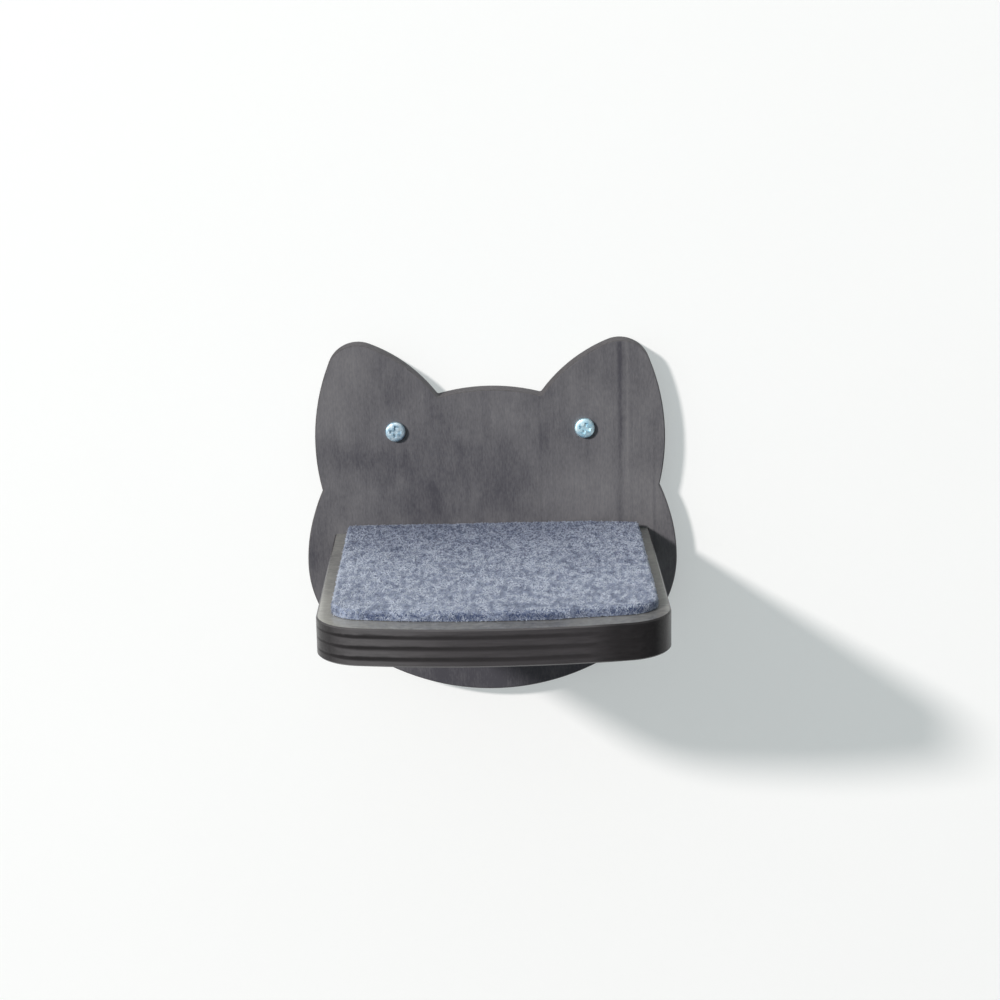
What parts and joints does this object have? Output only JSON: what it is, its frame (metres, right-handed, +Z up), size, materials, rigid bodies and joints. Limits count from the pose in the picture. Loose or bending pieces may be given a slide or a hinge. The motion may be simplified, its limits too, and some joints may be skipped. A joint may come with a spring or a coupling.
{
  "type": "cat wall step",
  "caption": "Wall step for a cat: a plywood back plate cut as a cat's head, screwed to the wall, carries a small bowed step board with a felt carpet pad.",
  "frame": {"origin": "on the wall plane, midway between the axes of the two wall screws", "axes": "+X to the right, +Y into the wall, +Z up"},
  "size_m": [0.1946, 0.23, 0.1874],
  "materials": {
    "stained_plywood": "charcoal wood stain, sanded, matt",
    "needle_felt": "blue-grey needle-punched carpet, fuzzy",
    "double_sided_tape": "cloth-backed double-sided tape",
    "zinc_plated_steel": "blue zinc plating",
    "yellow_zinc_steel": "yellow zinc plating",
    "beech": "bare beech"
  },
  "bodies": {
    "root": {"back_plate": "stained_plywood", "step_board": "stained_plywood", "carpet_pad": "needle_felt", "pad_tape_left": "double_sided_tape", "pad_tape_centre": "double_sided_tape", "pad_tape_right": "double_sided_tape", "wall_screw_left": "zinc_plated_steel", "wall_screw_right": "zinc_plated_steel", "step_screw_left": "yellow_zinc_steel", "step_screw_centre": "yellow_zinc_steel", "step_screw_right": "yellow_zinc_steel", "dowel_left": "beech", "dowel_right": "beech"}
  },
  "joints": []
}
